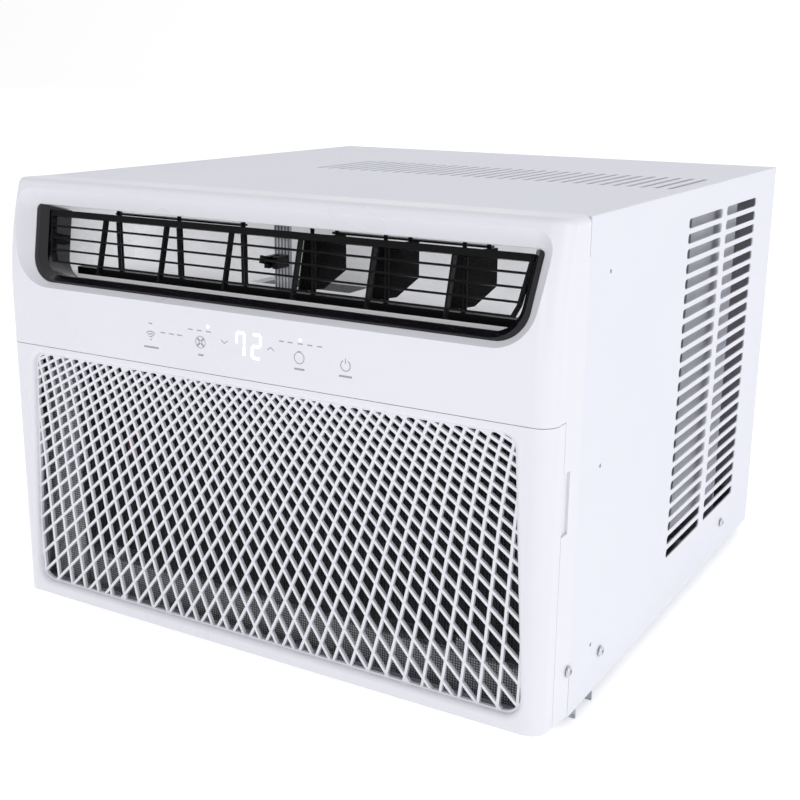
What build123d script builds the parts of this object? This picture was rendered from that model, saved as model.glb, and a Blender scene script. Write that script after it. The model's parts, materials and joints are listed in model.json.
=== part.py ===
from build123d import *
import os
from math import cos, exp, hypot, radians, sin

os.makedirs("parts", exist_ok=True)

# ---------------------------------------------------------------- driving dimensions (mm)
# X is to the right seen from the room, Y points outdoors, Z is up.
# The origin is on the resting surface, under the middle of the unit.
WIDTH = 500.0            # cabinet and front frame
DEPTH = 534.0            # front face to rear edge
BEZEL_DEPTH = 53.0       # front frame ahead of the cabinet
FOOT_H = 10.0            # sill rail and rear feet lift the cabinet
CABINET_H = 369.0
SHEET = 1.2              # cabinet steel
SHELL = 2.5              # moulded front

HALF = WIDTH / 2
FRONT = -DEPTH / 2
REAR = DEPTH / 2
SEAM = FRONT + BEZEL_DEPTH
FLOOR = FOOT_H
TOP = FOOT_H + CABINET_H
GAP = 0.5                # between the intake panel and the front frame

# front frame and intake panel
FACE_BEND_Z = 285.0      # the face is straight below this height and curls back above it
FACE_TOP = (SEAM - 35.5, TOP + 1.5)
PARTING_Z = 244.3        # joint between the front frame and the intake panel
PANEL_REAR = SEAM - 28.0  # rear edge of the intake panel's side returns
CORNER_R = 14.0

HINGE_X, HINGE_Y, HINGE_Z = 198.0, PANEL_REAR - 4.0, 16.5   # the intake panel tips forward here
HINGE_R = 1.2
GROMMET_AT, GROMMET_R = (SEAM - 14.0, 85.0), 8.0

# intake window: a trapezium with rounded corners
WIN_Z0, WIN_Z1 = 29.3, 236.6
WIN_HALF0, WIN_HALF1 = 235.0, 223.5
WIN_R0, WIN_R1 = 14.0, 10.0
LATTICE_FRONT = FRONT + 5.5
LATTICE_DEPTH = 2.8
RIB_W = 2.2
BRIM_R = 4.0              # eased edge round the window

# air outlet: everything in it leans back with the face
RAKE = 15.0
OUTLET_Y, OUTLET_Z = SEAM - 40.0, 316.0
OUT_S0, OUT_S1 = -19.2, 44.5      # bottom and top edge, along the leaning plane
OUT_HALF0, OUT_HALF1 = 224.0, 230.5
APER_S0 = -12.5
APER_HALF0, APER_HALF1 = 215.5, 221.5
CHEEK_DEPTH = 31.0

# horizontal louver grid
GRID_N0, GRID_N1 = 6.0, 11.0
GRID_CLEAR = 1.2          # from the ends of the bars to the cheeks
GRID_PIVOT_S, GRID_PIVOT_N = 18.6, 23.0
BAR_S = [-1.3, 8.5, 18.3, 28.1]
RAIL_S0, RAIL_S1 = 36.0, 41.2

# vertical vanes, in two banks of three
VANE_PITCH = 64.0
VANE_Y = SEAM - 7.5
VANE_Z0, VANE_Z1 = 309.0, 349.0
VANE_T = 1.8
VANE_LINK = 22.4          # link pin behind the pivot
DUCT_FLOOR, DUCT_ROOF = 300.0, 361.0
UPPER_RAIL_Z = 357.0      # underside of the strip that holds the vanes' upper pins
LEFT_YAW, RIGHT_YAW = -40.0, 22.5
PIN_R = 1.6
PIN_CLEAR = 0.05

# rotor
AXLE_X, AXLE_Z = -60.0, 178.0
SHAFT_R = 6.0


# ---------------------------------------------------------------- helpers
def block(x0, x1, y0, y1, z0, z1):
    centre = Pos((x0 + x1) / 2, (y0 + y1) / 2, (z0 + z1) / 2)
    return centre * Box(x1 - x0, y1 - y0, z1 - z0)


def rod(radius, start, end):
    line = Edge.make_line(start, end)
    return sweep(Plane(origin=start, z_dir=line % 0) * Circle(radius), path=line)


def rod_z(radius, x, y, z0, z1):
    return Pos(x, y, (z0 + z1) / 2) * Cylinder(radius, z1 - z0)


def rod_y(radius, x, z, y0, y1):
    return Pos(x, (y0 + y1) / 2, z) * Rot(90, 0, 0) * Cylinder(radius, y1 - y0)


def rod_x(radius, y, z, x0, x1):
    return Pos((x0 + x1) / 2, y, z) * Rot(0, 90, 0) * Cylinder(radius, x1 - x0)


def pipe(radius, points, bend):
    line = FilletPolyline(*points, radius=bend)
    start = Plane(origin=line @ 0, z_dir=line % 0)
    return sweep(start * Circle(radius), path=line)


def group(solids):
    return Compound(children=[s.solid() if not isinstance(s, Solid) else s for s in solids])


def save(shape, node):
    export_step(shape, f"parts/{node}.step")


# ---------------------------------------------------------------- front face
def face_block(inset):
    """The solid behind the front face: a leaning profile with rounded vertical corners."""
    low, face = (FRONT + inset, 18.5 + inset), (FRONT + 0.9 + inset, FACE_BEND_Z)
    crown = (FACE_TOP[0] + inset, FACE_TOP[1] - inset)
    with BuildPart() as body:
        with BuildSketch(Plane.YZ.offset(-HALF + inset)):
            with BuildLine():
                Line((SEAM + inset, 11.5 + inset), low)
                Line(low, face)
                TangentArc(face, crown, tangent=(face[0] - low[0], face[1] - low[1]))
                Line(crown, (SEAM + inset, TOP + 0.5 - inset))
                Line((SEAM + inset, TOP + 0.5 - inset), (SEAM + inset, 11.5 + inset))
            make_face()
        extrude(amount=WIDTH - 2 * inset)
        upright = [e for e in body.edges()
                   if abs(abs(e.center().X) - HALF + inset) < 0.01 and e.center().Y < SEAM - 42
                   and e.length > 60]
        fillet(upright, CORNER_R - inset)
        if inset == 0:
            crown_edges = [e for e in body.edges()
                           if e.center().Z > TOP - 1 and e.center().Y < SEAM - 1 and
                           (e.center().Y < SEAM - 30 or abs(e.center().X) > HALF - 1)]
            fillet(crown_edges, 5.5)
    return body.part


def tilted(n=0.0):
    """The leaning outlet plane: local X is X, local Y runs up the plane, local Z points outwards."""
    a = radians(RAKE)
    origin = (0, OUTLET_Y + n * cos(a), OUTLET_Z - n * sin(a))
    return Plane(origin=origin, x_dir=(1, 0, 0), z_dir=(0, -cos(a), sin(a)))


def trapezium(half0, half1, s0, s1, r_low, r_top):
    with BuildSketch() as sketch:
        with BuildLine():
            Polyline((-half0, s0), (half0, s0), (half1, s1), (-half1, s1), close=True)
        make_face()
        if r_low:
            fillet(sketch.vertices().sort_by(Axis.Y)[:2], r_low)
        if r_top:
            fillet(sketch.vertices().sort_by(Axis.Y)[-2:], r_top)
    return sketch.sketch


def outlet_outline(grow=0.0):
    return trapezium(OUT_HALF0 + grow, OUT_HALF1 + grow, OUT_S0 - grow, OUT_S1 + grow, 24.0 + grow, 4.0)


def leaning(sketch, n0, n1, taper=0.0):
    """Extrude a sketch in the leaning plane from depth n1 out to depth n0."""
    return extrude(tilted(n1) * sketch, amount=n1 - n0, taper=taper)


def window_outline(grow=0.0):
    return trapezium(WIN_HALF0 + grow, WIN_HALF1 + grow, WIN_Z0 - grow, WIN_Z1 + grow,
                     WIN_R0 + grow, WIN_R1 + grow)


def upright_slab(sketch, y0, y1):
    """Extrude a sketch drawn in X and Z from y0 back to y1."""
    plane = Plane(origin=(0, y1, 0), x_dir=(1, 0, 0), z_dir=(0, -1, 0))
    return extrude(plane * sketch, amount=y1 - y0)


OUTER = face_block(0.0)
INNER = face_block(SHELL) + block(-HALF + SHELL, HALF - SHELL, SEAM - 5, SEAM + 5, 11.5 + SHELL,
                                  TOP + 0.5 - SHELL)


def make_front_frame():
    below = block(-HALF - 1, HALF + 1, FRONT - 1, PANEL_REAR, 0, PARTING_Z)
    shell = OUTER - INNER - below
    step = block(-HALF + 1, HALF - 1, PANEL_REAR, PANEL_REAR + SHELL, 14.0, PARTING_Z + SHELL)
    shelf = block(-HALF + 1, HALF - 1, FRONT, PANEL_REAR + SHELL, PARTING_Z, PARTING_Z + SHELL)
    intake = block(-200, 226, PANEL_REAR - 1, PANEL_REAR + SHELL + 1, 21.0, 232.0)
    collar = leaning(outlet_outline(17.0), -40.0, 3.0)
    frame = shell + ((shelf + step + collar) & OUTER) - intake
    frame -= leaning(outlet_outline(), -30.0, 40.0)
    frame -= leaning(outlet_outline(), -22.0, 0.0, taper=-40.0)
    for side in (-1, 1):
        frame -= block(side * HALF - 1.8, side * HALF + 1.8, PANEL_REAR - 1, PANEL_REAR + 11, 161.0, 207.0)
        frame -= rod_x(2.0, *SIDE_SCREWS[0], side * HALF - 4, side * HALF + 4)
        for z0, z1 in ((0, 46.0), (352.0, TOP + 2)):
            frame -= block(side * HALF - 6, side * HALF + 6, SEAM - 0.7, SEAM + 1, z0, z1)
        x = side * HINGE_X
        lug = block(x - 2, x + 2, HINGE_Y - 2.2, PANEL_REAR + 1, HINGE_Z - 2.2, HINGE_Z + 2.2)
        frame += lug - rod_x(HINGE_R + PIN_CLEAR, HINGE_Y, HINGE_Z, x - 3, x + 3)
    frame -= rod_x(GROMMET_R, *GROMMET_AT, -HALF - 1, -HALF + 4)
    return frame.solid()


def make_intake_panel():
    region = block(-HALF - 1, HALF + 1, FRONT - 1, PANEL_REAR - GAP, 0, PARTING_Z - GAP)
    shell = (OUTER & region) - INNER
    rim = upright_slab(window_outline(3.0), FRONT - 1, LATTICE_FRONT + LATTICE_DEPTH) & OUTER
    panel = shell + (rim & region)
    panel -= upright_slab(window_outline(), FRONT - 5, PANEL_REAR)
    brim = [e for e in panel.edges() if e.center().Y < FRONT + 1.2 and abs(e.center().X) < HALF - 14.5
            and WIN_Z0 - 1 < e.center().Z < WIN_Z1 + 1]
    panel = fillet(brim, BRIM_R)
    for side in (-1, 1):
        x = side * HINGE_X
        panel -= block(x - 5, x + 5, HINGE_Y - 5, PANEL_REAR, 0, HINGE_Z + 12)
        for arm in (x - 4, x + 4):
            panel += block(arm - 1.5, arm + 1.5, HINGE_Y - 8, HINGE_Y + 2.2, HINGE_Z - 2.2, HINGE_Z + 2.2)
        panel += rod_x(HINGE_R, HINGE_Y, HINGE_Z, x - 5.5, x + 5.5)
    return panel.solid()


# The lattice is a diamond net stretched by height: u counts cells across, v counts cells up.
def net_point(u, v):
    vv = v + 0.212 + 0.0046 * u * u
    z = 327.7 - 117.7 * exp(-0.108 * vv)
    cell = 10.6 + 0.0316 * (210.0 - z)
    return (u * cell * (1 + 0.00013 * u * u), z)


def window_polygon(inset):
    """Corner points of the intake window pulled in by inset, arcs as short runs."""
    points = []
    corners = [(WIN_HALF0 - inset, WIN_Z0 + inset, WIN_R0, -90.0),
               (WIN_HALF1 - inset, WIN_Z1 - inset, WIN_R1, 0.0)]
    lean = (WIN_HALF0 - WIN_HALF1) / (WIN_Z1 - WIN_Z0)
    for x, z, r, start in corners:
        cz = z + r if start < 0 else z - r
        cx = x - r - lean * (r if start < 0 else -r) * 0.6
        for k in range(6):
            a = radians(start + 18.0 * k)
            points.append((cx + r * cos(a), cz + r * sin(a)))
    return points + [(-x, z) for x, z in reversed(points)]


def clipped(polygon, border):
    """The part of a convex polygon inside a convex anticlockwise border."""
    for (ax, az), (bx, bz) in zip(border, border[1:] + border[:1]):
        kept = []
        side = [(bx - ax) * (z - az) - (bz - az) * (x - ax) for x, z in polygon]
        for i, point in enumerate(polygon):
            j = (i + 1) % len(polygon)
            if side[i] >= 0:
                kept.append(point)
            if side[i] * side[j] < 0:
                t = side[i] / (side[i] - side[j])
                kept.append(tuple(p + t * (q - p) for p, q in zip(point, polygon[j])))
        polygon = kept
        if len(polygon) < 3:
            return []
    return polygon


def shrunk(polygon, inset):
    """A convex anticlockwise polygon with each side moved in by inset."""
    lines = []
    for (ax, az), (bx, bz) in zip(polygon, polygon[1:] + polygon[:1]):
        length = hypot(bx - ax, bz - az)
        nx, nz = -(bz - az) / length, (bx - ax) / length
        lines.append((nx, nz, nx * ax + nz * az + inset))
    corners = []
    for (a1, b1, c1), (a2, b2, c2) in zip(lines[-1:] + lines[:-1], lines):
        det = a1 * b2 - a2 * b1
        corners.append(((c1 * b2 - c2 * b1) / det, (a1 * c2 - a2 * c1) / det))
    return corners


def area(polygon):
    return 0.5 * sum(x0 * z1 - x1 * z0 for (x0, z0), (x1, z1) in zip(polygon, polygon[1:] + polygon[:1]))


def make_lattice():
    border = window_polygon(1.2)
    holes = []
    for i in range(-60, 61):
        for j in range(-60, 61):
            u, v = (i + j) / 2, (i - j) / 2
            if not (-17 <= v <= 4 and abs(u) <= 30):
                continue
            cell = [net_point(u, v - 0.5), net_point(u + 0.5, v), net_point(u, v + 0.5), net_point(u - 0.5, v)]
            inner = clipped(shrunk(cell, RIB_W / 2), border)
            if inner and area(inner) > 3.0:
                holes.append(inner)
    plane = Plane(origin=(0, LATTICE_FRONT, 0), x_dir=(1, 0, 0), z_dir=(0, -1, 0))
    outer = (plane * window_outline()).face().outer_wire()
    wires = [Wire.make_polygon([(x, LATTICE_FRONT, z) for x, z in hole]) for hole in holes]
    sheet = Face(outer, wires)
    return extrude(sheet, amount=LATTICE_DEPTH, dir=(0, 1, 0)).solid()


# ---------------------------------------------------------------- air outlet
def aperture_half(s):
    """Half width between the cheeks at a height up the leaning plane."""
    return APER_HALF0 + (APER_HALF1 - APER_HALF0) * (s - APER_S0) / (OUT_S1 - APER_S0)


def aperture(s_top=60.0):
    return trapezium(APER_HALF0, aperture_half(s_top), APER_S0, s_top, 20.0, 0)


def make_outlet_frame():
    body = leaning(outlet_outline(-0.4), 0.0, CHEEK_DEPTH)
    body -= leaning(aperture(), -5.0, CHEEK_DEPTH + 5.0)
    body -= leaning(aperture(), -0.01, 5.5, taper=-42.0)
    for side in (-1, 1):
        body -= pivot_rod(PIN_R + PIN_CLEAR, side * 210, side * (aperture_half(GRID_PIVOT_S) + 3.6))
    return body.solid()


def local(x, s, n):
    """A point given across, up and into the leaning outlet plane."""
    a = radians(RAKE)
    return (x, OUTLET_Y + s * sin(a) + n * cos(a), OUTLET_Z + s * cos(a) - n * sin(a))


def pivot_rod(radius, x0, x1):
    _, y, z = local(0, GRID_PIVOT_S, GRID_PIVOT_N)
    return rod_x(radius, y, z, min(x0, x1), max(x0, x1))


def slat(x0, x1, s0, s1, n0, n1):
    """A block with its sides along the leaning plane."""
    centre = Plane(origin=local((x0 + x1) / 2, (s0 + s1) / 2, (n0 + n1) / 2),
                   x_dir=(1, 0, 0), z_dir=tilted().z_dir)
    return centre * Box(x1 - x0, s1 - s0, n1 - n0)


def grid_half(s):
    """Reach of the grid at a height, short of the cheeks and of the rounded bottom corners."""
    return min(aperture_half(s) - GRID_CLEAR, 211.0 + 0.45 * (s - BAR_S[0]))


def end_plate(side):
    s0, s1 = BAR_S[0] - 0.75, RAIL_S1
    knee = 6.5
    outer = [(grid_half(s), s) for s in (s0, knee, s1)]
    inner = [(x - 2.0, s) for x, s in reversed(outer)]
    with BuildSketch() as sketch:
        with BuildLine():
            Polyline(*[(side * x, s) for x, s in outer + inner], close=True)
        make_face()
    return leaning(sketch.sketch, GRID_N0, GRID_N1)


def make_louver_grid():
    reach = grid_half(RAIL_S0) - 0.5
    grid = slat(-reach, reach, RAIL_S0, RAIL_S1, GRID_N0 - 0.5, GRID_N1)
    for s in BAR_S:
        reach = grid_half(s) - 0.5
        grid += slat(-reach, reach, s - 0.75, s + 0.75, GRID_N0 + 0.3, GRID_N1 - 0.3)
    for k in (-2.5, -1.5, -0.5, 0.5, 1.5, 2.5):
        grid += slat(k * VANE_PITCH - 0.9, k * VANE_PITCH + 0.9, -8.0, RAIL_S0 + 0.5, GRID_N0, GRID_N1)
    for side in (-1, 1):
        edge = side * (grid_half(GRID_PIVOT_S) - 1.2)
        grid += end_plate(side)
        grid += slat(edge - 0.9, edge + 0.9, GRID_PIVOT_S - 4, GRID_PIVOT_S + 4, GRID_N0, GRID_PIVOT_N + 4)
        grid += pivot_rod(PIN_R, edge, side * (aperture_half(GRID_PIVOT_S) + 3.0))
    arm = slat(-1.0, 1.0, GRID_PIVOT_S - 3, GRID_PIVOT_S + 3, GRID_N0, GRID_PIVOT_N + 3)
    grid += arm - pivot_rod(PIN_R + PIN_CLEAR, -3, 3)
    return grid.solid()


def make_post_bearing():
    """A fork on the centre post that holds the grid's middle arm on a pin."""
    _, y, z = local(0, GRID_PIVOT_S, GRID_PIVOT_N)
    fork = block(-6, 6, y - 4, y + 11.0, z - 4.5, z + 4.5)
    fork -= block(-1.6, 1.6, y - 5, y + 6.5, z - 6, z + 6)
    fork += pivot_rod(PIN_R, -5, 5)
    return fork.solid()


def make_centre_post():
    _, y, z = local(0, GRID_PIVOT_S, GRID_PIVOT_N)
    return block(-7, 7, y + 11.0, y + 14.0, 300.0, 361.0)


def vane_blade(x, yaw):
    outline = [(-13.0, VANE_Z0), (9.5, VANE_Z0), (30.0, VANE_Z0 + 12.5), (30.0, VANE_Z1), (-6.5, VANE_Z1)]
    with BuildPart() as body:
        with BuildSketch(Plane.YZ.offset(-VANE_T / 2)):
            with BuildLine():
                Polyline(*outline, close=True)
            make_face()
        extrude(amount=VANE_T)
    blade = body.part
    blade += rod_z(PIN_R + 1.0, 0, 0, VANE_Z0 - 2.0, VANE_Z1)
    blade += rod_z(PIN_R, 0, 0, VANE_Z0 - 6.0, UPPER_RAIL_Z + 2.0)
    blade += rod_z(PIN_R, 0, VANE_LINK, VANE_Z1 - 2.0, VANE_Z1 + 3.2)
    return (Pos(x, VANE_Y, 0) * Rot(0, 0, -yaw) * blade).solid()


def link_pin(x, yaw):
    a = radians(yaw)
    return (x + VANE_LINK * sin(a), VANE_Y + VANE_LINK * cos(a))


def make_vane_link(xs, yaw):
    pins = [link_pin(x, yaw) for x in xs]
    y = pins[0][1]
    bar = block(pins[0][0] - 3.0, pins[-1][0] + 3.0, y - 2.6, y + 2.6, VANE_Z1 + 0.6, VANE_Z1 + 2.2)
    for px, py in pins:
        bar -= rod_z(PIN_R + PIN_CLEAR, px, py, VANE_Z1, VANE_Z1 + 4)
    return bar.solid()


def make_vane_rails():
    """Lower and upper strips with the vane pivot holes."""
    xs = [k * VANE_PITCH for k in (-2.5, -1.5, -0.5, 0.5, 1.5, 2.5)]
    lower = block(-206, 206, VANE_Y - 4, VANE_Y + 4, DUCT_FLOOR, VANE_Z0 - 3.0)
    upper = block(-186, 186, VANE_Y - 4, VANE_Y + 4, UPPER_RAIL_Z, DUCT_ROOF)
    for x in xs:
        lower -= rod_z(PIN_R + PIN_CLEAR, x, VANE_Y, VANE_Z0 - 6.5, VANE_Z0)
        upper -= rod_z(PIN_R + PIN_CLEAR, x, VANE_Y, VANE_Z1, UPPER_RAIL_Z + 2.5)
    return lower.solid(), upper.solid()


def make_outlet_duct():
    """A box open at the front, with a mouth in its floor over the blower."""
    y0, y1, wall = SEAM - 14.0, SEAM + 84.0, 3.0
    body = block(-229, 229, y0, y1, DUCT_FLOOR - wall, DUCT_ROOF + wall)
    body -= block(-229 + wall, 229 - wall, y0 - 1, y1 - wall, DUCT_FLOOR, DUCT_ROOF)
    body -= block(AXLE_X, AXLE_X + 96, SEAM + 37, y1 - wall, DUCT_FLOOR - wall - 1, DUCT_FLOOR + 1)
    return (body - leaning(outlet_outline(1.0), -40.0, CHEEK_DEPTH + 0.4)).solid()


# ---------------------------------------------------------------- cabinet
SLOT_ROWS, SLOT_PITCH, SLOT_TOP = 24, 12.47, 351.3
SLOT_H, SLOT_R = 8.1, 3.2
SLOT_COLUMNS = [(-2.0, 91.5), (105.0, 200.5)]
CURTAIN_HOLES = [52.2, 194.5, 336.8]
CURTAIN_Y = SEAM + 40.0
CURTAIN_R = 1.7
SIDE_SCREWS = [(SEAM - 4.5, 50.0), (SEAM + 60.0, 38.5), (REAR - 99.5, 39.0)]


def make_side(side):
    with BuildPart() as body:
        with BuildSketch(Plane.YZ.offset(0)):
            with Locations(((SEAM + REAR) / 2, (FLOOR + TOP) / 2)):
                Rectangle(REAR - SEAM, TOP - FLOOR)
            for y0, y1 in SLOT_COLUMNS:
                with Locations(((y0 + y1) / 2, SLOT_TOP - SLOT_PITCH * (SLOT_ROWS - 1) / 2)):
                    with GridLocations(1, SLOT_PITCH, 1, SLOT_ROWS):
                        RectangleRounded(y1 - y0, SLOT_H, SLOT_R, mode=Mode.SUBTRACT)
            with Locations(*[(CURTAIN_Y, z) for z in CURTAIN_HOLES]):
                Circle(CURTAIN_R, mode=Mode.SUBTRACT)
            with Locations(*[p for p in SIDE_SCREWS if p[0] > SEAM]):
                Circle(2.2, mode=Mode.SUBTRACT)
        extrude(amount=SHEET)
    wall = body.part
    lip = block(SHEET - 3.0, SHEET, SEAM, REAR, TOP - SHEET, TOP)
    wall = wall + lip
    edge = [e for e in wall.edges() if e.length > 300 and abs(e.center().Z - TOP) < 0.01
            and e.center().X > SHEET - 0.1]
    wall = fillet(edge, 1.0)
    placed = Pos(HALF - SHEET, 0, 0) * wall
    return (placed if side > 0 else mirror(placed, about=Plane.YZ)).solid()


VENT_COUNT, VENT_PITCH, VENT_W = 30, 11.7, 4.2
VENT_X0, VENT_Y0, VENT_Y1 = -106.0, -10.0, 92.0


def make_top():
    with BuildPart() as body:
        with BuildSketch(Plane.XY.offset(TOP - SHEET)):
            with Locations((0, (SEAM + REAR) / 2)):
                Rectangle(WIDTH - 6.0, REAR - SEAM)
            for k in range(VENT_COUNT):
                with Locations((VENT_X0 + k * VENT_PITCH, (VENT_Y0 + VENT_Y1) / 2)):
                    RectangleRounded(VENT_W, VENT_Y1 - VENT_Y0, VENT_W / 2 - 0.05, mode=Mode.SUBTRACT)
        extrude(amount=SHEET)
    return body.part.solid()


PAN_RIM = 32.0
DRAIN_AT, DRAIN_R = (140.0, 240.0), 6.0
RAIL_HOLES, RAIL_HOLE_Y, RAIL_HOLE_R = (-180.0, 180.0), SEAM + 35.0, 2.6


def make_base_pan():
    pan = block(-HALF + SHEET + 0.2, HALF - SHEET - 0.2, SEAM + 0.5, REAR - 2.0, FLOOR, FLOOR + 1.5)
    rim = pan.faces().sort_by(Axis.Z)[-1]
    wall = extrude(rim, amount=PAN_RIM) - extrude(offset(rim, amount=-1.5), amount=PAN_RIM)
    wall -= block(-HALF + 10, HALF - 10, SEAM, SEAM + 5, FLOOR + 1.5, FLOOR + 60)
    pan = pan + wall - rod_z(DRAIN_R, *DRAIN_AT, FLOOR - 1, FLOOR + 3)
    for y, z in SIDE_SCREWS[1:]:
        pan -= rod_x(1.95, y, z, -HALF - 1, -HALF + 6) + rod_x(1.95, y, z, HALF - 6, HALF + 1)
    for x in RAIL_HOLES:
        pan -= rod_z(RAIL_HOLE_R, x, RAIL_HOLE_Y, FLOOR - 1, FLOOR + 3)
    return pan.solid()


def make_rear_panel():
    body = block(-HALF + SHEET + 0.2, HALF - SHEET - 0.2, REAR - 1.5, REAR, FLOOR + 0.5, TOP - SHEET - 0.2)
    body -= block(-228, 190, REAR - 3, REAR + 1, 34.0, 358.0)
    return body.solid()


def make_rear_guard():
    posts = [rod_z(1.6, x, REAR - 5.0, 50, 350) for x in (-150, -19, 112)]
    wires = [rod_x(1.6, REAR - 3.1, z, -232, 194) for z in range(65, 336, 45)]
    return group(posts + wires)


# ---------------------------------------------------------------- refrigeration and air path
EVAP = dict(x0=-196.0, x1=226.0, y0=SEAM - 14.0, y1=SEAM + 26.0, z0=60.0, z1=288.0)
COND = dict(x0=-222.0, x1=184.0, y0=REAR - 62.0, y1=REAR - 18.0, z0=22.0, z1=364.0)
TUBE_R = 4.0
LINE_R = 4.8
SHROUD_Y = REAR - 105.0
FAN_R = 138.0
BULKHEAD_Y = SEAM + 122.0
SUCTION_AT = (85.0, 262.0)
LIQUID_AT = (92.0, 40.0)
DISCHARGE_AT = (212.0, 300.0)


def coil(x0, x1, y0, y1, z0, z1, rows, pitch):
    """Fin pack, its two end plates, and the return bends on both ends."""
    fins = block(x0, x1, y0, y1, z0, z1)
    plates = [block(x0 - 1.5, x0, y0 - 3, y1 + 3, z0, z1), block(x1, x1 + 1.5, y0 - 3, y1 + 3, z0, z1)]
    bends = []
    count = int((z1 - z0 - 30) // (2 * pitch))
    for row in range(rows):
        y = y0 + (row + 0.5) * (y1 - y0) / rows
        for k in range(count):
            z = z0 + 18.0 + 2 * pitch * k + pitch * (row % 2) * 0.5
            for x, way in ((x0 - 1.5, -1), (x1 + 1.5, 1)):
                arc = ThreePointArc((x, y, z), (x + way * pitch / 2, y, z + pitch / 2), (x, y, z + pitch))
                bends.append(sweep(Plane(origin=arc @ 0, z_dir=arc % 0) * Circle(TUBE_R), path=arc).solid())
    return fins, group(plates), group(bends)


def make_drip_tray():
    """A foam trough that stands on the base pan and carries the evaporator."""
    tray = block(-216, 229, SEAM - 24.0, SEAM + 32.0, 21.0, 52.0)
    tray -= block(-197.5, 227.5, SEAM - 17.0, SEAM + 29.0, 40.0, 61.0)
    for x in (-190, 190):
        tray += block(x - 14, x + 14, SEAM + 6.0, SEAM + 32.0, FLOOR + 1.5, 21.0)
    for x in (-170, 0, 170):
        tray += block(x - 5, x + 5, SEAM - 17.0, SEAM + 29.0, 40.0, EVAP["z0"])
    return tray.solid()


def make_blower_housing():
    y0, y1 = SEAM + 34.0, BULKHEAD_Y - 2.0
    body = block(AXLE_X - 104, AXLE_X + 104, y0, y1, AXLE_Z - 104, 296.5)
    body -= rod_y(96, AXLE_X, AXLE_Z, y0 + 3, y1 - 3) + rod_y(70, AXLE_X, AXLE_Z, y0 - 1, y0 + 4)
    body -= rod_y(14, AXLE_X, AXLE_Z, y1 - 4, y1 + 1)
    return (body - block(AXLE_X, AXLE_X + 96, y0 + 3, y1 - 3, AXLE_Z, 297)).solid()


def make_bulkhead():
    wall = block(-245, 245, BULKHEAD_Y, BULKHEAD_Y + 2.0, FLOOR + 1.5, 296.5)
    wall -= rod_y(16, AXLE_X, AXLE_Z, BULKHEAD_Y - 1, BULKHEAD_Y + 3)
    for x, z in (SUCTION_AT, LIQUID_AT):
        wall -= rod_y(LINE_R + 1.2, x, z, BULKHEAD_Y - 1, BULKHEAD_Y + 3)
    return wall.solid()


def make_fan_shroud():
    """A plate with the fan's round opening, and side and top walls that run forward from it."""
    x1, z0, z1 = HALF - 7.0, 76.0, TOP - 5.0
    wall = block(-x1, x1, SHROUD_Y - 3.0, SHROUD_Y, 16.0, z1)
    wall -= rod_y(FAN_R + 8.0, AXLE_X, AXLE_Z, SHROUD_Y - 4, SHROUD_Y + 1)
    for x, z in (LIQUID_AT, DISCHARGE_AT):
        wall -= rod_y(LINE_R + 1.2, x, z, SHROUD_Y - 4, SHROUD_Y + 1)
    for side in (-1, 1):
        wall += block(side * x1 - 2.0, side * x1 + 2.0, 27.0, SHROUD_Y, z0, z1) & block(-x1, x1, 0, REAR, 0, z1)
    wall += block(-x1, x1, 27.0, SHROUD_Y, z1 - 2.5, z1)
    return wall.solid()


def make_blower_wheel():
    y0, y1, r0, r1, blades = SEAM + 42.0, BULKHEAD_Y - 10.0, 66.0, 84.0, 30
    wheel = rod_y(r1, AXLE_X, AXLE_Z, y1 - 2.0, y1) + rod_y(15, AXLE_X, AXLE_Z, y1 - 22.0, y1)
    wheel += rod_y(r1, AXLE_X, AXLE_Z, y0, y0 + 3) - rod_y(r0, AXLE_X, AXLE_Z, y0 - 1, y0 + 4)
    blade = Pos((r0 + r1) / 2, (y0 + y1) / 2, 0) * Rot(0, 32, 0) * Box(15.0, y1 - y0 - 1.0, 1.4)
    for k in range(blades):
        wheel += Pos(AXLE_X, 0, AXLE_Z) * Rot(0, 360.0 * k / blades, 0) * blade
    return (wheel - rod_y(SHAFT_R, AXLE_X, AXLE_Z, y0 - 5, y1 + 5)).solid()


def make_condenser_fan():
    y_mid, hub_r = SHROUD_Y - 30.0, 26.0
    fan = rod_y(hub_r, AXLE_X, AXLE_Z, y_mid - 14, y_mid + 14)
    length = FAN_R - hub_r + 6.0
    paddle = Pos(FAN_R - length / 2 + 1.0, 0, 0) * Rot(32, 0, 0) * Box(length, 2.4, 78)
    for k in range(5):
        fan += Pos(AXLE_X, y_mid, AXLE_Z) * Rot(0, 72.0 * k, 0) * paddle
    ring = rod_y(FAN_R + 3, AXLE_X, AXLE_Z, y_mid + 12, y_mid + 24)
    fan += ring - rod_y(FAN_R - 1, AXLE_X, AXLE_Z, y_mid + 11, y_mid + 25)
    return (fan - rod_y(SHAFT_R, AXLE_X, AXLE_Z, y_mid - 30, y_mid + 30)).solid()


MOTOR_Y0, MOTOR_Y1 = BULKHEAD_Y + 18.0, BULKHEAD_Y + 92.0


def make_fan_motor():
    body = rod_y(46, AXLE_X, AXLE_Z, MOTOR_Y0 + 8, MOTOR_Y1 - 8)
    body += rod_y(20, AXLE_X, AXLE_Z, MOTOR_Y0, MOTOR_Y1)
    return (body - rod_y(SHAFT_R + PIN_CLEAR, AXLE_X, AXLE_Z, MOTOR_Y0 - 1, MOTOR_Y1 + 1)).solid()


def make_motor_bracket():
    y0, y1 = MOTOR_Y0 + 14, MOTOR_Y1 - 14
    foot = block(AXLE_X - 60, AXLE_X + 60, y0, y1, FLOOR + 1.5, FLOOR + 4.5)
    post = block(AXLE_X - 34, AXLE_X + 34, y0 + 10, y1 - 10, FLOOR + 1.5, AXLE_Z)
    return (foot + post - rod_y(46.0, AXLE_X, AXLE_Z, y0 - 1, y1 + 1)).solid()


COMP_X, COMP_Y, COMP_R = 158.0, -8.0, 58.0


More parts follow.
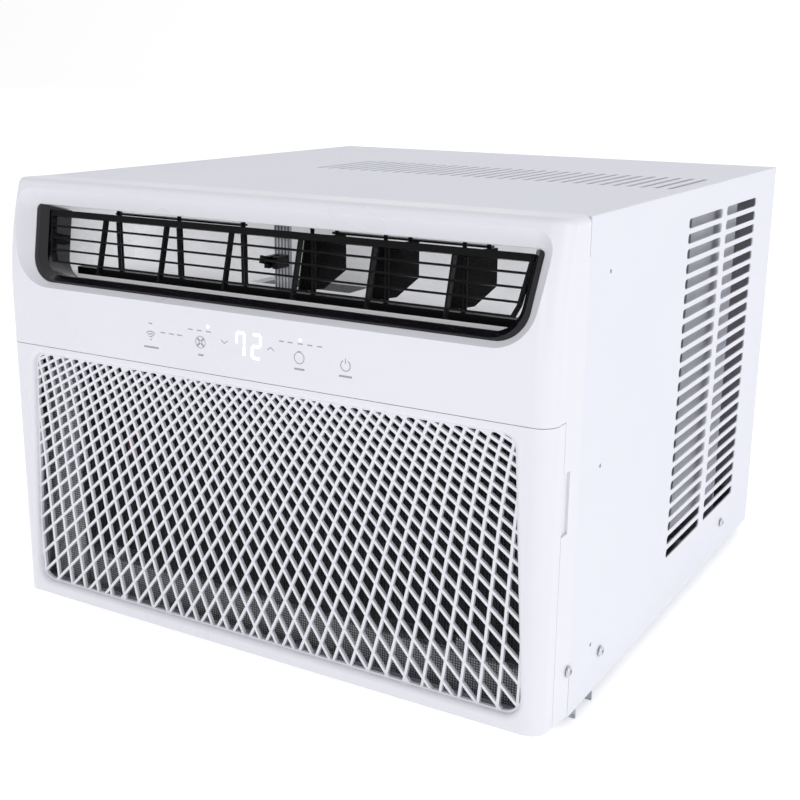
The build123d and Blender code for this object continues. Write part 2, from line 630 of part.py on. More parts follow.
def make_compressor():
    shell = rod_z(COMP_R, COMP_X, COMP_Y, 32.0, 236.0)
    ends = [e for e in shell.edges() if e.geom_type == GeomType.CIRCLE]
    shell = fillet(ends, 26.0)
    return (shell + rod_z(6.5, COMP_X, COMP_Y, 230.0, 242.0)).solid()


def make_compressor_grommets():
    spots = [(COMP_X + 46 * cos(radians(a)), COMP_Y + 46 * sin(radians(a))) for a in (30, 150, 270)]
    return group([rod_z(9.0, x, y, FLOOR + 1.5, 31.0).solid() for x, y in spots])


def make_accumulator():
    can = rod_z(20.0, 82.0, -44.0, 60.0, 196.0)
    return fillet([e for e in can.edges() if e.geom_type == GeomType.CIRCLE], 9.0).solid()


def make_lines():
    x, z = DISCHARGE_AT
    discharge = pipe(LINE_R, [(COMP_X, COMP_Y, 242.0), (COMP_X, COMP_Y, z), (x, COMP_Y, z),
                              (x, COND["y0"] + 22, z), (COND["x1"] + 1.6, COND["y0"] + 22, z)], 10.0)
    x, z = SUCTION_AT
    suction = pipe(LINE_R, [(x, -44.0, 196.0), (x, -44.0, z), (x, EVAP["y1"], z)], 14.0)
    x, z = LIQUID_AT
    liquid = rod_y(3.2, x, z, EVAP["y1"] + 6.2, COND["y0"])
    return discharge.solid(), suction.solid(), liquid.solid()


def screw(y, z, side):
    head = Pos(side * HALF, y, z) * Rot(0, side * 90, 0) * (Pos(0, 0, 0) * Sphere(5.4))
    head = head & block(*sorted((side * HALF, side * (HALF + 2.2))), y - 6, y + 6, z - 6, z + 6)
    head = head & rod_x(4.4, y, z, -HALF - 3, HALF + 3)
    return (head + rod_x(1.9, y, z, *sorted((side * (HALF - 6), side * (HALF + 0.5))))).solid()


def make_screws():
    return group([screw(y, z, side) for y, z in SIDE_SCREWS for side in (-1, 1)])


def make_sill_rail():
    rail = block(-249, 249, SEAM + 18.0, SEAM + 52.0, 0.0, FLOOR)
    rail -= block(-251, 251, SEAM + 19.5, SEAM + 50.5, -1.0, FLOOR - 1.5)
    for x in RAIL_HOLES:
        rail -= rod_z(RAIL_HOLE_R, x, RAIL_HOLE_Y, FLOOR - 3, FLOOR + 1)
    return rail.solid()


def make_filter():
    y0, y1 = LATTICE_FRONT + LATTICE_DEPTH + 4.0, PANEL_REAR - 4.0
    frame = block(-242, 242, y0, y1, 22.5, 241.5) - block(-236, 236, y0 - 1, y1 + 1, 28.5, 236.5)
    mesh = block(-236, 236, (y0 + y1) / 2 - 0.3, (y0 + y1) / 2 + 0.3, 28.5, 236.5)
    return frame.solid(), mesh.solid()


def make_cord_grommet():
    y, z = GROMMET_AT
    ring = rod_x(GROMMET_R, y, z, -HALF, -HALF + SHELL) + rod_x(GROMMET_R + 2.0, y, z, -HALF - 1.6, -HALF)
    ring += rod_x(GROMMET_R + 2.0, y, z, -HALF + SHELL, -HALF + SHELL + 1.6)
    return (ring - rod_x(4.2, y, z, -HALF - 3, -HALF + 6)).solid()


# ---------------------------------------------------------------- write every node
save(make_front_frame(), "front_frame")
save(make_intake_panel(), "intake_panel")
save(make_lattice(), "intake_lattice")
filter_frame, filter_mesh = make_filter()
save(filter_frame, "filter_frame")
save(filter_mesh, "filter_mesh")
save(make_outlet_frame(), "outlet_frame")
save(make_louver_grid(), "louver_grid")
save(make_post_bearing(), "post_bearing")
save(make_centre_post(), "centre_post")
for bank, first, yaw in (("left", -2.5, LEFT_YAW), ("right", 0.5, RIGHT_YAW)):
    spots = [(first + k) * VANE_PITCH for k in range(3)]
    for k, x in enumerate(spots):
        save(vane_blade(x, yaw), f"vane_{bank}_{k + 1}")
    save(make_vane_link(spots, yaw), f"vane_link_{bank}")
lower_rail, upper_rail = make_vane_rails()
save(lower_rail, "vane_rail_lower")
save(upper_rail, "vane_rail_upper")
save(make_outlet_duct(), "outlet_duct")

save(make_side(1), "cabinet_side_right")
save(make_side(-1), "cabinet_side_left")
save(make_top(), "cabinet_top")
save(make_base_pan(), "base_pan")
save(make_rear_panel(), "rear_panel")
save(make_rear_guard(), "rear_guard")
save(make_sill_rail(), "sill_rail")
save(group([rod_z(14.0, x, REAR - 42.0, 0.0, FLOOR).solid() for x in (-190.0, 190.0)]), "rear_feet")
save(make_screws(), "cabinet_screws")
save(make_cord_grommet(), "cord_grommet")
save((rod_z(DRAIN_R, *DRAIN_AT, FLOOR, FLOOR + 1.5) + rod_z(9.0, *DRAIN_AT, FLOOR - 3, FLOOR)).solid(),
     "drain_plug")

for name, size, rows, pitch in (("evaporator", EVAP, 2, 19.0), ("condenser", COND, 2, 21.0)):
    fins, plates, bends = coil(**size, rows=rows, pitch=pitch)
    save(fins.solid(), f"{name}_fins")
    save(plates, f"{name}_end_plates")
    save(bends, f"{name}_bends")
save(make_drip_tray(), "drip_tray")
save(make_blower_housing(), "blower_housing")
save(make_bulkhead(), "bulkhead")
save(make_fan_shroud(), "fan_shroud")
save(make_blower_wheel(), "blower_wheel")
save(make_condenser_fan(), "condenser_fan")
save(rod_y(SHAFT_R, AXLE_X, AXLE_Z, SEAM + 50.0, SHROUD_Y - 12.0).solid(), "motor_shaft")
save(make_fan_motor(), "fan_motor")
save(make_motor_bracket(), "motor_bracket")
save(make_compressor(), "compressor")
save(make_compressor_grommets(), "compressor_grommets")
save(make_accumulator(), "accumulator")
for line, name in zip(make_lines(), ("discharge_line", "suction_line", "liquid_line")):
    save(line, name)
save(block(132, 240, SEAM + 36.0, BULKHEAD_Y - 3.0, 62.0, 286.0).solid(), "electrical_box")
save(rod_y(20.0, 180.0, 268.0, BULKHEAD_Y + 2.0, BULKHEAD_Y + 50.0).solid(), "run_capacitor")
save(block(-118, 118, FRONT + 9.5, FRONT + 11.1, 252.0, 279.0).solid(), "control_board")
save(block(-22, 32, FRONT + 5.0, FRONT + 9.5, 257.0, 279.0).solid(), "display_module")
save(rod_z(3.0, -150.0, EVAP["y0"] - 3.2, 150.0, 172.0).solid(), "coil_sensor")
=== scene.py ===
# %% [markdown]
# # A window air conditioner
# This lesson dresses an exact model of a window air conditioner. The cabinet, the front, the louvers and
# the works inside come from CAD and stay as they are. Blender gives each of them its finish, and adds what
# is only printed, lit or punched: the symbols on the front, the digits of the display and the crosses of
# the screws.

# %% Load the exact model
import json
from math import cos, degrees, pi, radians, sin
import bpy
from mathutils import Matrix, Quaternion, Vector


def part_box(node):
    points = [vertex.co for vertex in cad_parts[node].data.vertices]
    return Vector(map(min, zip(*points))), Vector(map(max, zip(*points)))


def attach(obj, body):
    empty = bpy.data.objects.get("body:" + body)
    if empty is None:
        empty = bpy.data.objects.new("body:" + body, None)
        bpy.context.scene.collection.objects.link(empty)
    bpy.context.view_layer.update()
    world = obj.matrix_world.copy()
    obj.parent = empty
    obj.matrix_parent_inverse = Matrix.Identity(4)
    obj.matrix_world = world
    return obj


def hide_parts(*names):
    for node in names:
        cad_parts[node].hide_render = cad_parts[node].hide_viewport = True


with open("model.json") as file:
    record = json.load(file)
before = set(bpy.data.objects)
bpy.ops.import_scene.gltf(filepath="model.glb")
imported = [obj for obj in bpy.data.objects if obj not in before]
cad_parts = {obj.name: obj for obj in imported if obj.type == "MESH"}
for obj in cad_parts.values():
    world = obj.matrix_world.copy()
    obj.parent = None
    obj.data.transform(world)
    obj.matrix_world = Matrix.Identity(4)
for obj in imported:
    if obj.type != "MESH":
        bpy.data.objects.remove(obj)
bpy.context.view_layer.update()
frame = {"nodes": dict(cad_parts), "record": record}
MM = 0.001

# %% [markdown]
# ## The studio
# A product like this is lit by big soft boxes and a pale room. The room is a world that is brightest near
# the horizon and dimmer overhead, so the upright faces are a little lighter than the top of the cabinet. It
# is also dimmer in front of the cabinet than behind it. Two area lamps add a soft direction and give the
# dark glossy parts something to reflect.

# %% Camera
camera_data = bpy.data.cameras.new("camera")
camera_data.lens = 55.27
camera = bpy.data.objects.new("camera", camera_data)
bpy.context.scene.collection.objects.link(camera)
camera.location = Vector((0.5512, -0.9782, 0.4759))
aim = Vector((0.10465, -0.2140, 0.2318)) - camera.location
camera.rotation_mode = "QUATERNION"
camera.rotation_quaternion = aim.to_track_quat("-Z", "Y") @ Quaternion((0, 0, 1), radians(0.5633))
bpy.context.scene.camera = camera
print("camera", round(aim.length, 3), "m from its target")


# %% Node helper
def linear(hex_value):
    """A colour written as sRGB hex, as the linear numbers that nodes use."""
    channels = [int(hex_value[i:i + 2], 16) / 255 for i in (0, 2, 4)]
    return [c / 12.92 if c <= 0.04045 else ((c + 0.055) / 1.055) ** 2.4 for c in channels] + [1.0]


def add(tree, kind, settings=None, **links):
    """Adds a node. Settings are properties or socket values, links are output sockets by input name."""
    node = tree.nodes.new("ShaderNode" + kind)
    for name, value in (settings or {}).items():
        if isinstance(name, str) and hasattr(node, name):
            setattr(node, name, value)
        else:
            node.inputs[name].default_value = value
    for name, socket in links.items():
        key = int(name[1:]) if name[0] == "_" else name.replace("_", " ")
        tree.links.new(socket, node.inputs[key])
    return node


# %% World and lamps
world = bpy.data.worlds.new("studio")
world.use_nodes = True
bpy.context.scene.world = world
bpy.context.scene.view_settings.view_transform = "Standard"
sky = world.node_tree
sky.nodes.clear()
direction = add(sky, "TexCoord")
height = add(sky, "SeparateXYZ", Vector=direction.outputs["Generated"])
fade = add(sky, "ValToRGB", Fac=height.outputs["Z"])
fade.color_ramp.elements[0].color = linear("FFFFFF")
fade.color_ramp.elements[1].color = linear("F0F1F6")
depth = add(sky, "MapRange", {"From Min": -1.0, "From Max": 1.0, "To Min": 0.62, "To Max": 1.05},
            Value=height.outputs["Y"])
glow = add(sky, "Background", Color=fade.outputs["Color"], Strength=depth.outputs["Result"])
add(sky, "OutputWorld", Surface=glow.outputs["Background"])


def soft_box(name, place, size, power):
    lamp = bpy.data.lights.new(name, "AREA")
    lamp.size = size
    lamp.energy = power
    lamp_object = bpy.data.objects.new(name, lamp)
    bpy.context.scene.collection.objects.link(lamp_object)
    lamp_object.location = place
    lamp_object.rotation_euler = (Vector((0, 0, 0.2)) - Vector(place)).to_track_quat("-Z", "Y").to_euler()


soft_box("front_box", (0.25, -2.0, 0.62), 0.9, 5)
soft_box("side_box", (2.1, -0.3, 0.9), 1.3, 6)

# %% [markdown]
# ## The floor
# The floor is one large pale sheet with its far edge far away. Seen from the front it runs into the bright
# side of the room without a line. Seen from behind, the dim side of the room is in view and the line shows.

# %% Floor
FLOOR_GLOW = 0.40
bpy.ops.object.select_all(action="DESELECT")
bpy.ops.mesh.primitive_plane_add(size=30, location=(0, 0, 0))
floor = bpy.context.object
floor.name = "floor"
floor_finish = bpy.data.materials.new("painted_floor")
floor_finish.use_nodes = True
floor_shader = floor_finish.node_tree.nodes["Principled BSDF"]
floor_shader.inputs["Base Color"].default_value = linear("F6F6F8")
floor_shader.inputs["Roughness"].default_value = 0.9
floor_shader.inputs["Emission Color"].default_value = linear("FFFFFF")
floor_shader.inputs["Emission Strength"].default_value = FLOOR_GLOW
floor.data.materials.append(floor_finish)

# %% [markdown]
# ## Finishes
# Every finish starts from what the real one is. A small function makes the material and its main shader,
# with the numbers that are the same all over set on the shader itself. Patterns read object coordinates,
# which are in metres, so a pattern of one millimetre has a scale of one thousand.

# %% Start a finish
finishes = {}


def start_finish(slot_name, name, hex_value, roughness, **constants):
    material = bpy.data.materials.new(name)
    material.use_nodes = True
    tree = material.node_tree
    shader = tree.nodes["Principled BSDF"]
    shader.inputs["Base Color"].default_value = linear(hex_value)
    shader.inputs["Roughness"].default_value = roughness
    for key, value in constants.items():
        shader.inputs[key.replace("_", " ")].default_value = value
    finishes[slot_name] = material
    place = add(tree, "TexCoord").outputs["Object"]
    return tree, shader, place


def tint(tree, shader, amount, dark, light):
    """Base colour that runs from one hex colour to another with a pattern's value."""
    ramp = add(tree, "ValToRGB", Fac=amount)
    ramp.color_ramp.elements[0].color = linear(dark)
    ramp.color_ramp.elements[1].color = linear(light)
    tree.links.new(ramp.outputs["Color"], shader.inputs["Base Color"])
    return ramp


def wear(tree, shader, amount, low, high):
    """Roughness that runs from low to high with a pattern's value."""
    span = add(tree, "MapRange", {"From Min": 0.35, "From Max": 0.65, "To Min": low, "To Max": high},
               Value=amount)
    tree.links.new(span.outputs["Result"], shader.inputs["Roughness"])


def relief(tree, shader, amount, strength, height_mm):
    """Small height differences from a pattern's value."""
    bump = add(tree, "Bump", {"Strength": strength, "Distance": height_mm * MM}, Height=amount)
    tree.links.new(bump.outputs["Normal"], shader.inputs["Normal"])


# %% [markdown]
# ### Moulded ABS
# The front, the intake panel and its lattice are injection-moulded white ABS with a satin skin. Light slides
# over it in broad soft patches, because the skin has a very fine grain and a slow waviness from the mould.

# %% White ABS
tree, shader, place = start_finish("white_plastic", "moulded_white_ABS", "E2E3E7", 0.30, IOR=1.53)
skin = add(tree, "TexNoise", {"Scale": 1100.0, "Detail": 3.0}, Vector=place)
flow = add(tree, "TexNoise", {"Scale": 9.0, "Detail": 2.0}, Vector=place)
tint(tree, shader, flow.outputs["Fac"], "DFE0E5", "E5E5EA")
wear(tree, shader, flow.outputs["Fac"], 0.27, 0.36)
relief(tree, shader, skin.outputs["Fac"], 0.10, 0.03)

# %% [markdown]
# ### Powder-coated steel
# The cabinet is folded sheet steel with a baked powder coat. Powder melts into a skin with orange peel, low
# bumps a couple of millimetres wide, so its reflections are softer and more broken than the plastic's.

# %% Powder coat
tree, shader, place = start_finish("cabinet_paint", "powder_coated_steel", "DFE0E7", 0.42, IOR=1.5)
peel = add(tree, "TexNoise", {"Scale": 420.0, "Detail": 2.0, "Roughness": 0.4}, Vector=place)
cloud = add(tree, "TexNoise", {"Scale": 5.0, "Detail": 2.0}, Vector=place)
tint(tree, shader, cloud.outputs["Fac"], "DCDDE5", "E3E4EA")
wear(tree, shader, peel.outputs["Fac"], 0.38, 0.48)
relief(tree, shader, peel.outputs["Fac"], 0.22, 0.08)

# %% [markdown]
# ### Black moulded polypropylene
# The louver grid and the vanes are moulded in black plastic with a fine spark-eroded texture. It is dark but
# never quite black, and its edges pick up a cool sheen.

# %% Black polypropylene
tree, shader, place = start_finish("dark_plastic", "moulded_black_PP", "070709", 0.30, IOR=1.42,
                                   Specular_IOR_Level=0.2)
spark = add(tree, "TexNoise", {"Scale": 900.0, "Detail": 4.0}, Vector=place)
tint(tree, shader, spark.outputs["Fac"], "040405", "0A0A0D")
wear(tree, shader, spark.outputs["Fac"], 0.26, 0.42)
relief(tree, shader, spark.outputs["Fac"], 0.15, 0.05)

# %% [markdown]
# ### Piano black
# The rim round the outlet is polished black ABS under a clear skin, which mirrors the room in long streaks.
# Its violet cast and lighter streaks in the base colour are a painted reflection that follows the slow
# waviness.

# %% Polished black ABS
tree, shader, place = start_finish("dark_gloss", "polished_black_ABS", "0D0B11", 0.12, IOR=1.45,
                                   Coat_Weight=0.35, Coat_Roughness=0.05)
waviness_and_painted_reflection = add(tree, "TexNoise", {"Scale": 30.0, "Detail": 1.0}, Vector=place)
# painted reflection: the base colour turns violet and lighter along the slow waviness
tint(tree, shader, waviness_and_painted_reflection.outputs["Fac"], "09080C", "17141D")
relief(tree, shader, waviness_and_painted_reflection.outputs["Fac"], 0.12, 0.4)

# %% [markdown]
# ### Polystyrene duct
# The air path behind the louvers is thick moulded polystyrene, pale grey and matte. Its beads show as a
# faint cell pattern about four millimetres wide. Light that has soaked through the duct's walls fills it,
# and a weak emission stands for that.

# %% Duct and foam
DUCT_GLOW = 0.16
for slot_name, name, dark, light in (("duct_plastic", "moulded_polystyrene", "E8E9EC", "F8F8FA"),
                                     ("foam", "expanded_polystyrene_foam", "BDBFC4", "D2D3D6")):
    tree, shader, place = start_finish(slot_name, name, light, 0.7, IOR=1.45)
    beads = add(tree, "TexVoronoi", {"Scale": 250.0}, Vector=place)
    tint(tree, shader, beads.outputs["Distance"], light, dark)
    wear(tree, shader, beads.outputs["Distance"], 0.62, 0.8)
    relief(tree, shader, beads.outputs["Distance"], -0.25, 0.2)
    if slot_name == "duct_plastic":
        shader.inputs["Emission Color"].default_value = linear("FFFFFF")
        shader.inputs["Emission Strength"].default_value = DUCT_GLOW

# %% [markdown]
# ### Smoked acrylic post
# The post in the middle of the outlet is extruded clear plastic with ribs along it. The ribs are a wave of
# three millimetres across the post, with a painted highlight on their crowns and painted shade between them.

# %% Ribbed acrylic
tree, shader, place = start_finish("clear_plastic", "ribbed_acrylic", "9A9CA4", 0.15, IOR=1.49,
                                   Coat_Weight=0.4)
rib_wave_and_painted_highlight = add(tree, "TexWave", {"bands_direction": "X", "Scale": 105.0}, Vector=place)
# painted highlight on each rib's crown, painted shade in the troughs between ribs
tint(tree, shader, rib_wave_and_painted_highlight.outputs["Fac"], "5F616A", "D9DBE2")
relief(tree, shader, rib_wave_and_painted_highlight.outputs["Fac"], 0.5, 0.4)

# %% [markdown]
# ### Grey polypropylene
# The filter's frame, the fan shroud and the electrical box are plain grey plastic, with a slow flow pattern.

# %% Grey polypropylene
tree, shader, place = start_finish("grey_plastic", "moulded_grey_PP", "A4A5AC", 0.5, IOR=1.49)
flow = add(tree, "TexNoise", {"Scale": 60.0, "Detail": 4.0}, Vector=place)
tint(tree, shader, flow.outputs["Fac"], "96979F", "ACADB4")
relief(tree, shader, flow.outputs["Fac"], 0.1, 0.1)

# %% [markdown]
# ### Nylon filter net
# The filter is a woven net of black nylon. Real threads are a quarter of a millimetre thick and a
# millimetre apart, too fine to see here, so the net is drawn twice as coarse. Between the threads it is
# open, and the coil behind it shows through.

# %% Nylon net
THREADS_PER_M = 480.0
THREAD_SHARE = 0.14         # part of each pitch that is thread
tree, shader, place = start_finish("filter_net", "woven_nylon_net", "111115", 0.55, IOR=1.53)
axes = add(tree, "SeparateXYZ", Vector=place)
threads = []
for axis in ("X", "Z"):
    turns = add(tree, "Math", {"operation": "MULTIPLY", 1: THREADS_PER_M}, _0=axes.outputs[axis])
    across = add(tree, "Math", {"operation": "FRACT"}, _0=turns.outputs[0])
    threads.append(add(tree, "Math", {"operation": "LESS_THAN", 1: THREAD_SHARE}, _0=across.outputs[0]))
net = add(tree, "Math", {"operation": "MAXIMUM"}, _0=threads[0].outputs[0], _1=threads[1].outputs[0])
tree.links.new(net.outputs[0], shader.inputs["Alpha"])
relief(tree, shader, net.outputs[0], 0.3, 0.2)

# %% [markdown]
# ### Galvanised steel
# The base pan, the bulkhead, the coil plates and the sill rail are zinc-dipped sheet. Zinc freezes in flat
# crystals, the spangle, each with its own shade and polish.

# %% Galvanised steel
tree, shader, place = start_finish("zinc_steel", "galvanised_steel", "A7AAB0", 0.4, Metallic=1.0)
spangle = add(tree, "TexVoronoi", {"Scale": 140.0}, Vector=place)
shade = add(tree, "SeparateColor", Color=spangle.outputs["Color"])
tint(tree, shader, shade.outputs["Red"], "9A9DA4", "BCBFC4")
wear(tree, shader, shade.outputs["Green"], 0.32, 0.5)

# %% [markdown]
# ### Bright zinc screws and shaft
# Small turned steel parts are zinc-plated and bright, with fine rings from the lathe.

# %% Zinc-plated steel
tree, shader, place = start_finish("screw_steel", "zinc_plated_steel", "CDCFD5", 0.34, Metallic=1.0)
lathe = add(tree, "TexWave", {"wave_type": "RINGS", "rings_direction": "X", "Scale": 700.0}, Vector=place)
wear(tree, shader, lathe.outputs["Fac"], 0.22, 0.36)
relief(tree, shader, lathe.outputs["Fac"], 0.08, 0.05)

# %% [markdown]
# ### Coated wire, rubber and black enamel
# The rear guard is wire dipped in black plastic, and the compressor and accumulator are sprayed black enamel
# with slight runs. Feet, grommets and plugs are black rubber with a dusty bloom.

# %% Black finishes
for slot_name, name, dark, light, rough, scale, depth in (
        ("black_wire", "plastic_dipped_wire", "131315", "1F1F23", 0.38, 300.0, 0.1),
        ("black_paint", "sprayed_black_enamel", "0F0F11", "19191C", 0.3, 90.0, 0.2),
        ("rubber", "moulded_black_rubber", "17171A", "2B2B30", 0.75, 500.0, 0.1),
        ("fan_plastic", "glass_filled_black_PP", "18181B", "26262B", 0.55, 350.0, 0.1)):
    tree, shader, place = start_finish(slot_name, name, dark, rough, IOR=1.5)
    dust = add(tree, "TexNoise", {"Scale": scale, "Detail": 5.0}, Vector=place)
    tint(tree, shader, dust.outputs["Fac"], dark, light)
    wear(tree, shader, dust.outputs["Fac"], rough - 0.07, rough + 0.1)
    relief(tree, shader, dust.outputs["Fac"], 0.15, depth)

# %% [markdown]
# ### Aluminium fins
# A coil is a stack of thin aluminium sheets on copper tubes. Real fins are 1.4 mm apart; here the lines are
# 2.8 mm apart so that they show. The coil sits in shade behind the filter, so its edges are only a dark
# grey over near-black gaps.

# %% Fin pack
FIN_LINES_PER_M = 357.0
tree, shader, place = start_finish("fin_aluminium", "stacked_aluminium_fins", "8B8D92", 0.4, Metallic=0.9)
axes = add(tree, "SeparateXYZ", Vector=place)
turns = add(tree, "Math", {"operation": "MULTIPLY", 1: FIN_LINES_PER_M}, _0=axes.outputs["X"])
across = add(tree, "Math", {"operation": "FRACT"}, _0=turns.outputs[0])
edge = add(tree, "Math", {"operation": "COMPARE", 1: 0.5, 2: 0.17}, _0=across.outputs[0])
dents = add(tree, "TexNoise", {"Scale": 35.0, "Detail": 3.0}, Vector=place)
tint(tree, shader, edge.outputs[0], "060708", "3A3C42")
wear(tree, shader, dents.outputs["Fac"], 0.3, 0.55)
relief(tree, shader, edge.outputs[0], 0.6, 0.8)

# %% [markdown]
# ### Copper, painted motor steel and circuit board
# Refrigerant lines are drawn copper that has dulled with heat. The motor and capacitor are grey enamel, and
# the boards are green solder resist over fibreglass with a faint weave.

# %% Inner finishes
for slot_name, name, dark, light, rough, metal, scale in (
        ("copper", "drawn_copper", "8F4E35", "C77F5B", 0.32, 1.0, 45.0),
        ("motor_steel", "grey_enamelled_steel", "56585D", "6B6D72", 0.45, 0.0, 120.0),
        ("board", "solder_resist_on_fibreglass", "0E3A22", "1A5632", 0.35, 0.0, 600.0)):
    tree, shader, place = start_finish(slot_name, name, light, rough, Metallic=metal)
    patina = add(tree, "TexNoise", {"Scale": scale, "Detail": 4.0}, Vector=place)
    tint(tree, shader, patina.outputs["Fac"], dark, light)
    wear(tree, shader, patina.outputs["Fac"], rough - 0.08, rough + 0.15)
    relief(tree, shader, patina.outputs["Fac"], 0.1, 0.1)

# %% Put each finish on its nodes
for part in frame["record"]["subparts"]:
    node = frame["nodes"][part["node"]]
    node.data.materials.clear()
    node.data.materials.append(finishes[part["material_slot"]])
print("finishes", len(finishes))

# %% [markdown]
# ## What is printed and lit on the front
# The control field is touch keys behind a smooth front, so nothing moves. The symbols are printed in grey,
# and the two digits and the marks over the chosen setting shine through the white plastic. Each mark is a
# thin piece laid in the face, modelled as a plate or a ring that is cut to its shape.

# %% Where the face is
MARK_MM = 0.24              # thickness of a mark
LEAN_MM = 0.9               # how far the face leans back over its rise
FACE_FOOT_MM, FACE_RISE_MM = 18.5, 266.5
face_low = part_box("intake_panel")[0]
frame_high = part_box("front_frame")[1]


def face_y(z):
    """The front face leans back a little as it rises."""
    return face_low.y + LEAN_MM * MM * (z * 1000 - FACE_FOOT_MM) / FACE_RISE_MM


marks = {"printed": [], "lit": []}


def keep(kind, name):
    mark = bpy.context.object
    mark.name = name
    bpy.ops.object.transform_apply(location=True, rotation=True, scale=True)
    marks[kind].append(mark)
    return mark


def bar(kind, name, x, z, width, height, turn=0.0, round_mm=0.25):
    """A small plate with rounded corners, by its centre and size in millimetres."""
    bpy.ops.object.select_all(action="DESELECT")
    bpy.ops.mesh.primitive_cube_add(size=1, location=(x * MM, face_y(z * MM), z * MM),
                                    rotation=(0, radians(turn), 0),
                                    scale=(width * MM, MARK_MM * MM, height * MM))
    plate = keep(kind, name)
    bevel = plate.modifiers.new("corners", "BEVEL")
    bevel.width = round_mm * MM
    bevel.segments = 2
    bpy.ops.object.modifier_apply(modifier="corners")


def ring(kind, name, x, z, radius, stroke, start=0.0, end=360.0):
    """A ring or an arc, drawn from start to end in degrees anticlockwise from the right."""
    bpy.ops.object.select_all(action="DESELECT")
    bpy.ops.mesh.primitive_plane_add(size=1, location=(0, 0, 0))
    bpy.ops.object.mode_set(mode="EDIT")
    bpy.ops.mesh.select_all(action="SELECT")
    bpy.ops.transform.resize(value=(stroke * MM, MARK_MM * MM, 1))
    bpy.ops.transform.translate(value=(radius * MM, 0, 0))
    whole = end - start >= 360
    bpy.ops.mesh.spin(steps=max(6, int((end - start) / 10)), angle=radians(end - start), center=(0, 0, 0),
                      axis=(0, 1, 0), use_auto_merge=whole)
    bpy.ops.mesh.select_all(action="SELECT")
    bpy.ops.mesh.remove_doubles(threshold=0.00001)
    bpy.ops.mesh.normals_make_consistent(inside=False)
    bpy.ops.object.mode_set(mode="OBJECT")
    arc = bpy.context.object
    arc.rotation_euler = (0, -radians(start), 0)
    arc.location = (x * MM, face_y(z * MM), z * MM)
    keep(kind, name)


# %% Symbols
for x, z, width in ((-91, 258, 15), (-41.5, 258, 5), (50, 259, 9), (90, 259, 11)):
    bar("printed", "label_line", x, z, width, 1.5)
for x, z, width in [(-91, 277, 3.6)] + [(x, 271, 5) for x in (-78.5, -70, -62)] + \
        [(x, 277, 4.6) for x in (-51, -42.5, -33.5)] + [(x, 278, 4.4) for x in (34.5, 42, 51, 59.5, 68)]:
    bar("printed", "setting_dash", x, z, width, 0.9)
for radius in (2.2, 4.2, 6.2):
    ring("printed", "wireless_arc", -91, 264.5, radius, 0.75, 45, 135)
bar("printed", "wireless_dot", -91, 264.2, 1.2, 1.2, 45)
for quarter in range(4):
    angle = radians(45 + 90 * quarter)
    bar("printed", "fan_blade", -41.5 + 2.5 * cos(angle), 268 + 2.5 * sin(angle), 3.4, 1.7,
        -degrees(angle), 0.6)
ring("printed", "fan_ring", -41.5, 268, 4.6, 0.5)
for x, z, way in ((-18.5, 271, 1), (24.5, 271, -1)):
    for side in (-1, 1):
        bar("printed", "chevron", x + side * 1.5, z, 4.0, 0.7, side * way * -38)
ring("printed", "mode_ring", 50, 267.5, 4.3, 0.6)
bar("printed", "mode_cap", 50, 272.2, 3.0, 0.8)
ring("printed", "power_ring", 90, 267, 4.0, 0.7, 120, 420)
bar("printed", "power_line", 90, 270.2, 0.7, 4.0)
print("printed marks", len(marks["printed"]))

# %% [markdown]
# ### Digits
# The display is two seven-segment digits, a little slanted, like those of a kitchen clock. Each lit segment
# is one bar with eased corners. The numbers say which segments of a digit are on.

# %% Lit digits
DIGIT_Z, DIGIT_SLANT = 271, 0.06
SEGMENTS = {"top": (0, 9, 0), "middle": (0, 0, 0), "bottom": (0, -9, 0), "upper_left": (-3.6, 4.5, 1),
            "upper_right": (3.6, 4.5, 1), "lower_left": (-3.6, -4.5, 1), "lower_right": (3.6, -4.5, 1)}
DIGITS = ((-3.4, ("upper_left", "top", "upper_right", "lower_right")),
          (11.4, ("top", "upper_right", "middle", "lower_left", "bottom")))
for centre, lit in DIGITS:
    for segment in lit:
        dx, dz, upright = SEGMENTS[segment]
        lean = dz * DIGIT_SLANT
        if upright:
            bar("lit", "digit_segment", centre + dx + lean, DIGIT_Z + dz, 2.1, 7.6, 3.4, 0.5)
        else:
            bar("lit", "digit_segment", centre + dx + lean, DIGIT_Z + dz, 6.6, 2.1, 0, 0.5)
for x in (-34, 51):
    bar("lit", "chosen_setting", x, 281, 2.2, 2.2, 45, 0.4)
print("lit marks", len(marks["lit"]))

# %% Join the marks and give them ink and light
ink = start_finish("ink", "grey_screen_ink", "9C9CA6", 0.5, IOR=1.5)
ink_grain = add(ink[0], "TexNoise", {"Scale": 1500.0, "Detail": 2.0}, Vector=ink[2])
tint(ink[0], ink[1], ink_grain.outputs["Fac"], "92929D", "A4A4AD")
light = start_finish("light", "lit_diffuser", "FFFFFF", 0.4, IOR=1.5, Emission_Strength=1.0)
light[1].inputs["Emission Color"].default_value = linear("FFFFFF")
bloom = add(light[0], "TexNoise", {"Scale": 700.0}, Vector=light[2])
relief(light[0], light[1], bloom.outputs["Fac"], 0.05, 0.02)
for kind, name, slot_name in (("printed", "printed_symbols", "ink"), ("lit", "lit_digits", "light")):
    bpy.ops.object.select_all(action="DESELECT")
    for mark in marks[kind]:
        mark.select_set(True)
    bpy.context.view_layer.objects.active = marks[kind][0]
    bpy.ops.object.join()
    joined = bpy.context.object
    joined.name = name
    joined.data.materials.clear()
    joined.data.materials.append(finishes[slot_name])
    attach(joined, "cabinet")
    print(name, len(joined.data.polygons), "faces")

# %% [markdown]
# ## Screws
# The cabinet is held by pan-head screws with a cross recess. A head starts as a sphere, is cut in half and
# flattened, and a cross-shaped cutter takes out the recess. One screw is modelled and copied to the others.

# %% One screw head
HEAD_R, HEAD_H = 4.4 * MM, 2.2 * MM


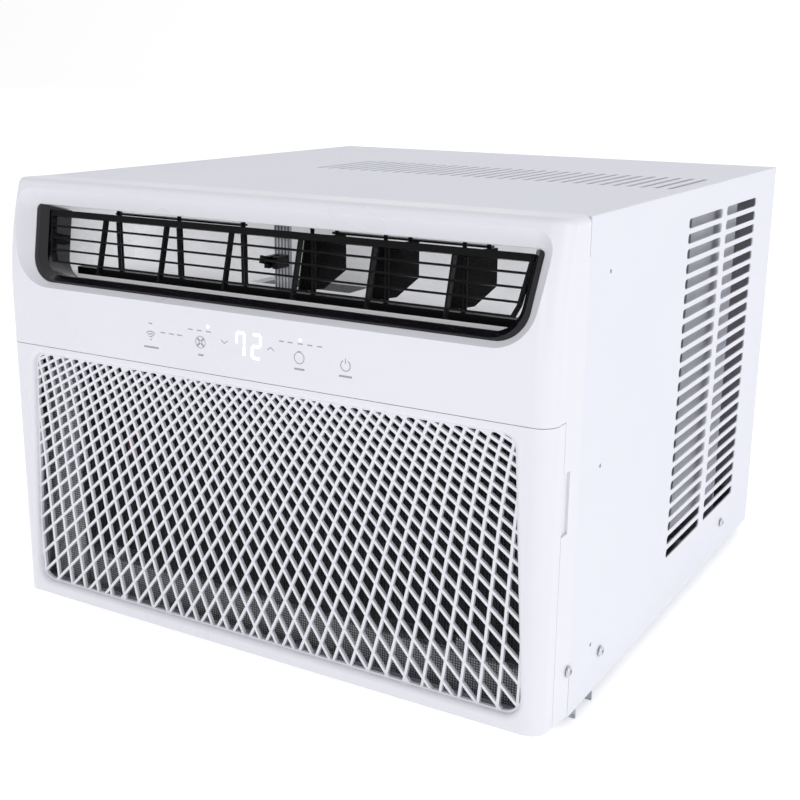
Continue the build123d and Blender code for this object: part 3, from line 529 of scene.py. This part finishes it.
def cross_bar(size):
    bpy.ops.object.select_all(action="DESELECT")
    bpy.ops.mesh.primitive_cube_add(size=1, location=(HEAD_H, 0, 0), scale=size)
    bpy.ops.object.transform_apply(location=True, rotation=True, scale=True)
    return bpy.context.object


bpy.ops.object.select_all(action="DESELECT")
bpy.ops.mesh.primitive_uv_sphere_add(segments=40, ring_count=20, radius=HEAD_R)
bpy.ops.object.mode_set(mode="EDIT")
bpy.ops.mesh.select_all(action="SELECT")
bpy.ops.mesh.bisect(plane_co=(0, 0, 0), plane_no=(1, 0, 0), use_fill=True, clear_inner=True)
bpy.ops.mesh.select_all(action="SELECT")
bpy.ops.transform.resize(value=(HEAD_H / HEAD_R, 1, 1))
bpy.ops.object.mode_set(mode="OBJECT")
head = bpy.context.object
head.name = "screw_head"
for size in ((2.4 * MM, 4.6 * MM, 0.9 * MM), (2.4 * MM, 0.9 * MM, 4.6 * MM)):
    cutter = cross_bar(size)
    cut = head.modifiers.new("cross", "BOOLEAN")
    cut.object = cutter
    bpy.context.view_layer.objects.active = head
    bpy.ops.object.modifier_apply(modifier="cross")
    bpy.data.objects.remove(cutter)
print("screw head", len(head.data.vertices), "points")

# %% Six screws
side_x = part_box("cabinet_side_right")[1].x
SCREWS = ((frame_high.y * 1000 - 4.5, 50.0), (frame_high.y * 1000 + 60.0, 38.5), (167.5, 39.0))
heads = []
for side in (-1, 1):
    for y, z in SCREWS:
        bpy.ops.object.select_all(action="DESELECT")
        copy = head.copy()
        copy.data = head.data.copy()
        bpy.context.scene.collection.objects.link(copy)
        copy.rotation_euler = (radians(20 + 31 * len(heads)), 0, 0 if side > 0 else pi)
        copy.location = (side * side_x, y * MM, z * MM)
        heads.append(copy)
bpy.data.objects.remove(head)
for copy in heads:
    copy.select_set(True)
bpy.context.view_layer.objects.active = heads[0]
bpy.ops.object.transform_apply(location=True, rotation=True, scale=True)
bpy.ops.object.join()
screws = bpy.context.object
screws.name = "cross_recess_screws"
bpy.ops.object.shade_smooth_by_angle(angle=radians(35))
screws.data.materials.clear()
screws.data.materials.append(finishes["screw_steel"])
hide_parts("cabinet_screws")
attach(screws, "cabinet")
print("screws", len(screws.data.polygons), "faces")
